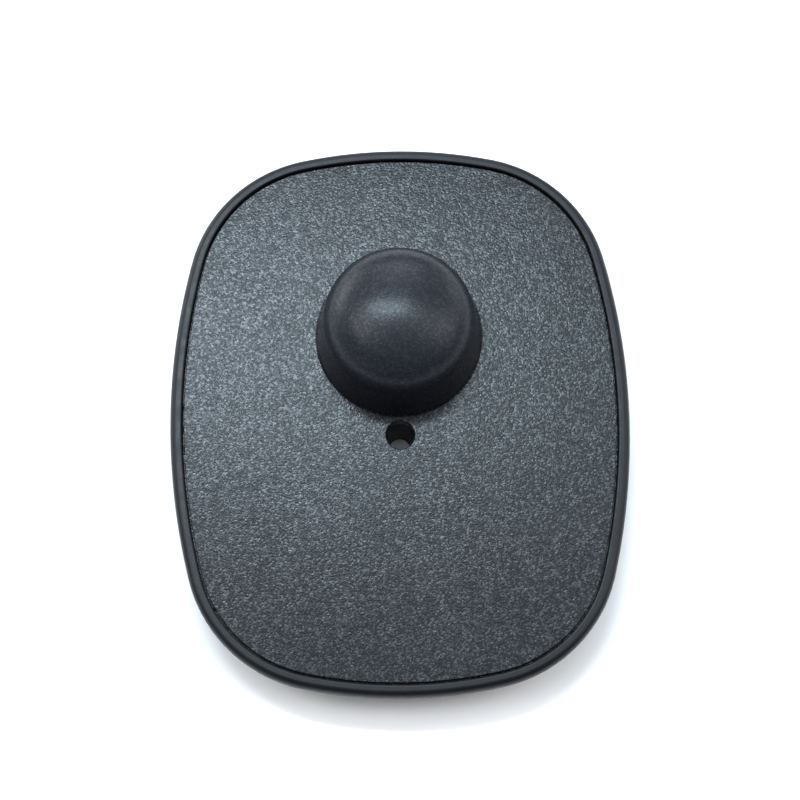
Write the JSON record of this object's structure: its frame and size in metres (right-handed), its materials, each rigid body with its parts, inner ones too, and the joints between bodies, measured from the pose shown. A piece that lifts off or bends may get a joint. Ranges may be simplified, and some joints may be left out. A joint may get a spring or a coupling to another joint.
{
  "type": "hard security tag",
  "caption": "Pebble-shaped hard security tag for clothing, with a domed ball clutch that grips a pin, a lanyard hole and a radio coil inside.",
  "frame": {"origin": "middle of the case's outline, on the flat back face that it rests on", "axes": "+Z out of the front, along the dome; +Y along the case towards the end where the dome is; +X to the right seen from the front"},
  "size_m": [0.052, 0.064, 0.018],
  "materials": {
    "case_plastic": "fine satin moulding, charcoal",
    "cover_plastic": "coarse spark-eroded grain on the plate, finer on the dome, charcoal",
    "plated_steel": "pressed and zinc plated",
    "hard_steel": "ground and polished",
    "spring_steel": "drawn wire",
    "enamelled_copper": "gloss enamelled copper wire",
    "capacitor_coat": "dipped coat, slightly lumpy",
    "tinned_wire": "bright tin",
    "solder": "smooth solder",
    "hot_melt": "milky and waxy"
  },
  "bodies": {
    "tag": {"rear_case": "case_plastic", "front_cover": "cover_plastic", "clutch_bell": "plated_steel", "clutch_cap": "plated_steel", "clutch_spring": "spring_steel", "antenna_coil": "enamelled_copper", "tuning_capacitor": "capacitor_coat", "capacitor_lead_left": "tinned_wire", "capacitor_lead_right": "tinned_wire", "solder_joint_left": "solder", "solder_joint_right": "solder", "glue_dab_1": "hot_melt", "glue_dab_2": "hot_melt", "glue_dab_3": "hot_melt", "glue_dab_4": "hot_melt", "glue_dab_5": "hot_melt"},
    "carrier": {"ball_carrier": "plated_steel"},
    "ball_1": {"steel_ball_1": "hard_steel"},
    "ball_2": {"steel_ball_2": "hard_steel"},
    "ball_3": {"steel_ball_3": "hard_steel"}
  },
  "joints": [
    {"name": "carrier_slide", "type": "slide", "parent": "tag", "child": "carrier", "axis": [0, 0, 1], "range_m": [0, 0.00145], "stiffness_N_per_m": 800, "deforming": ["clutch_spring"]},
    {"name": "ball_1_slide", "type": "slide", "parent": "tag", "child": "ball_1", "axis": [0, 0.309, 0.9511], "range_m": [0, 0.00155]},
    {"name": "ball_2_slide", "type": "slide", "parent": "tag", "child": "ball_2", "axis": [-0.2676, -0.1545, 0.9511], "range_m": [0, 0.00155]},
    {"name": "ball_3_slide", "type": "slide", "parent": "tag", "child": "ball_3", "axis": [0.2676, -0.1545, 0.9511], "range_m": [0, 0.00155]}
  ],
  "couplings": [
    {"joint": "ball_1_slide", "follows": "carrier_slide", "ratio": 1.0515},
    {"joint": "ball_2_slide", "follows": "carrier_slide", "ratio": 1.0515},
    {"joint": "ball_3_slide", "follows": "carrier_slide", "ratio": 1.0515}
  ]
}
